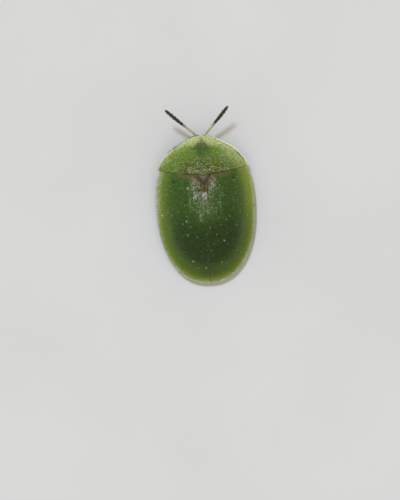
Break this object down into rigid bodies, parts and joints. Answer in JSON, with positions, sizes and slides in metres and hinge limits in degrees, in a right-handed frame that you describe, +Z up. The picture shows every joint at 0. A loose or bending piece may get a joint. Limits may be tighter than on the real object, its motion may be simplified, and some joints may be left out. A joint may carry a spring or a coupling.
{
  "type": "tortoise beetle",
  "caption": "Still, life-size tortoise beetle standing on its feet, with a domed green oval shield that covers head and legs, and forward feelers.",
  "frame": {"origin": "on the floor that the feet stand on, under the centre of the bounding box of body and feelers", "axes": "+Z up, the head faces -Y and the hind end +Y, +X is the beetle's left side"},
  "size_m": [0.005, 0.009, 0.0025],
  "materials": {
    "pronotum": "satin green, paler at the edge",
    "elytra": "satin dark green with a yellow-green margin",
    "scutellum": "satin reddish brown",
    "underside": "satin black-green chitin",
    "head": "satin dark chitin",
    "eyes": "glossy black",
    "legs": "satin yellow-green chitin",
    "antennae": "matt dark club on a pale stem"
  },
  "bodies": {
    "root": {"abdomen": "underside", "antenna_left": "antennae", "antenna_right": "antennae", "elytron_left": "elytra", "elytron_right": "elytra", "eye_left": "eyes", "eye_right": "eyes", "head": "head", "leg_front_left": "legs", "leg_front_right": "legs", "leg_hind_left": "legs", "leg_hind_right": "legs", "leg_mid_left": "legs", "leg_mid_right": "legs", "pronotum": "pronotum", "prothorax": "underside", "scutellum": "scutellum", "thorax": "underside"}
  },
  "joints": []
}
